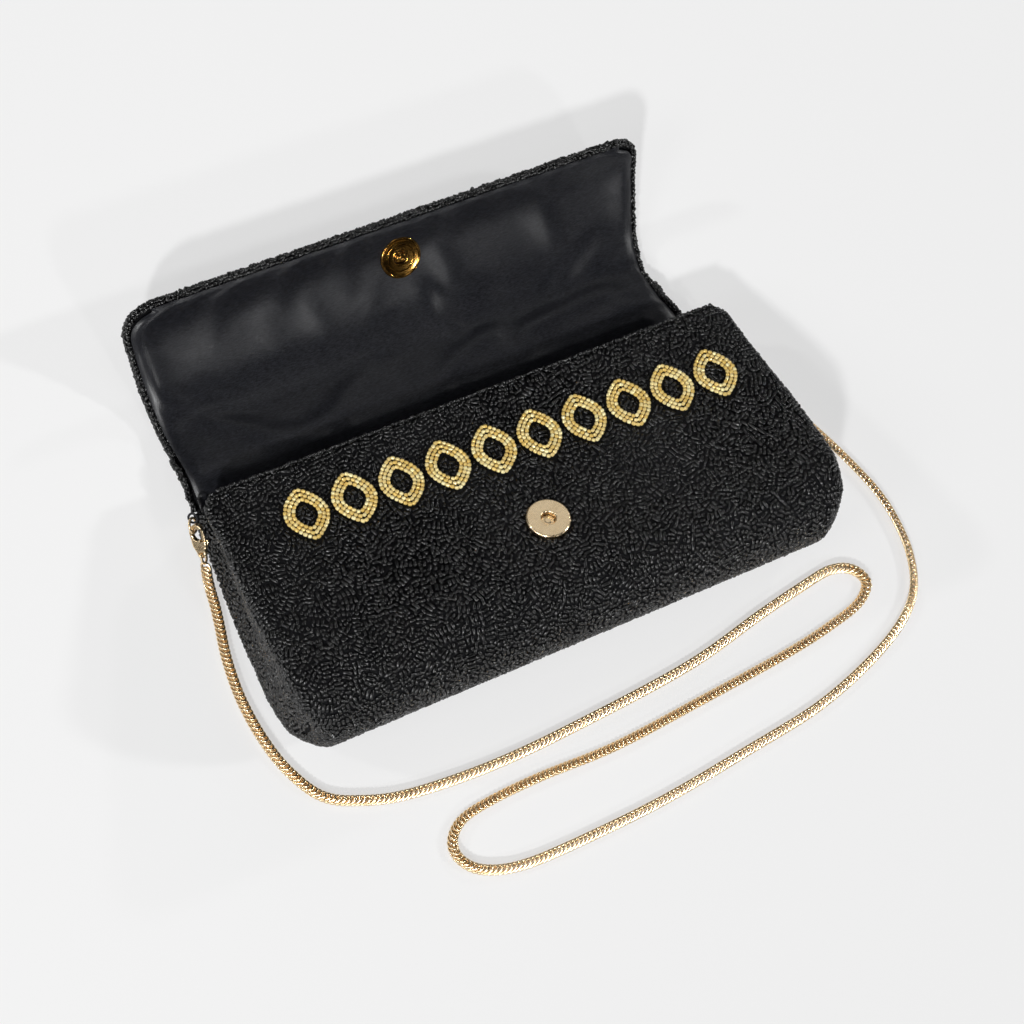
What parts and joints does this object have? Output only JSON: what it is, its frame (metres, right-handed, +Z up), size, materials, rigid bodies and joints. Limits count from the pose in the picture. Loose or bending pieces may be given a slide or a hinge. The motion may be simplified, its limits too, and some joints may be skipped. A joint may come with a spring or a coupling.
{
  "type": "evening bag",
  "caption": "Beaded evening clutch lying open, with a curled flap, a magnetic snap, gusseted sides and a chain strap on two hook clasps.",
  "frame": {"origin": "on the outer face of the flat back that the bag lies on, midway between the end of the base and the mouth edge, in the middle of its width", "axes": "+X along the bag's width, +Y from the rounded base towards the flap, +Z up, out of the back towards the front"},
  "size_m": [0.2961, 0.264, 0.0503],
  "materials": {
    "black_beads": "glossy black seed and bugle beads sewn close together",
    "satin": "black satin lining",
    "board": "plain stiffener board",
    "pale_gold": "pale gold plate, bright",
    "gold_beads": "gold lined glass beads",
    "dark_brass": "aged brass, polished",
    "steel": "zinc plated",
    "magnet": "sintered ring magnet"
  },
  "bodies": {
    "root": {"anchor_ring_left": "pale_gold", "anchor_ring_right": "pale_gold", "anchor_tab_left": "satin", "anchor_tab_right": "satin", "back_board": "board", "back_lining": "satin", "back_panel": "black_beads", "base_lining": "satin", "base_panel": "black_beads", "chain_strap": "pale_gold", "clasp_left": "pale_gold", "clasp_pin_left": "steel", "clasp_pin_right": "steel", "clasp_right": "pale_gold", "gusset_left_back": "black_beads", "gusset_right_back": "black_beads", "jump_ring_left": "pale_gold", "jump_ring_right": "pale_gold"},
    "front": {"front_board": "board", "front_lining": "satin", "front_panel": "black_beads", "gold_leaf_01": "gold_beads", "gold_leaf_02": "gold_beads", "gold_leaf_03": "gold_beads", "gold_leaf_04": "gold_beads", "gold_leaf_05": "gold_beads", "gold_leaf_06": "gold_beads", "gold_leaf_07": "gold_beads", "gold_leaf_08": "gold_beads", "gold_leaf_09": "gold_beads", "gold_leaf_10": "gold_beads", "gusset_left_front": "black_beads", "gusset_right_front": "black_beads", "socket_cap": "pale_gold", "socket_magnet": "magnet", "socket_rivet": "pale_gold", "socket_washer": "steel"},
    "flap_bridge": {"flap_bridge_lining": "satin", "flap_bridge_shell": "black_beads"},
    "flap_upper": {"flap_upper_board": "board", "flap_upper_lining": "satin", "flap_upper_shell": "black_beads"},
    "flap_lower": {"flap_lower_board": "board", "flap_lower_lining": "satin", "flap_lower_shell": "black_beads", "stud_cap": "dark_brass", "stud_rivet": "dark_brass", "stud_washer": "steel"},
    "gate_left": {"clasp_gate_left": "pale_gold"},
    "gate_right": {"clasp_gate_right": "pale_gold"}
  },
  "joints": [
    {"name": "flap_hinge", "type": "hinge", "parent": "root", "child": "flap_bridge", "pos_m": [0, 0.0562, 0.0036], "axis": [1, 0, 0], "range_deg": [0, 74.2]},
    {"name": "flap_fold", "type": "hinge", "parent": "flap_bridge", "child": "flap_upper", "pos_m": [0, 0.06415, 0.00776], "axis": [1, 0, 0], "range_deg": [0, 76.45]},
    {"name": "flap_curl", "type": "hinge", "parent": "flap_upper", "child": "flap_lower", "pos_m": [0, 0.10737, 0.00599], "axis": [1, 0, 0], "range_deg": [-45.06, 0]},
    {"name": "mouth_hinge", "type": "hinge", "parent": "root", "child": "front", "pos_m": [0, -0.03, 0.0252], "axis": [1, 0, 0], "range_deg": [-11.28, 0]},
    {"name": "gate_left_hinge", "type": "hinge", "parent": "root", "child": "gate_left", "pos_m": [-0.12287, 0.04045, 0.01236], "axis": [-0.7053, -0.3294, 0.6277], "range_deg": [0, 16], "stiffness_Nm_per_rad": 0.0005, "springref_deg": -11.46},
    {"name": "gate_right_hinge", "type": "hinge", "parent": "root", "child": "gate_right", "pos_m": [0.12499, 0.04158, 0.01056], "axis": [0.7053, -0.3294, 0.6277], "range_deg": [0, 16], "stiffness_Nm_per_rad": 0.0005, "springref_deg": -11.46}
  ],
  "couplings": [
    {"joint": "flap_fold", "follows": "flap_hinge", "ratio": 1.0301},
    {"joint": "flap_curl", "follows": "flap_hinge", "ratio": -0.60702},
    {"joint": "mouth_hinge", "follows": "flap_hinge", "ratio": -0.15173}
  ]
}
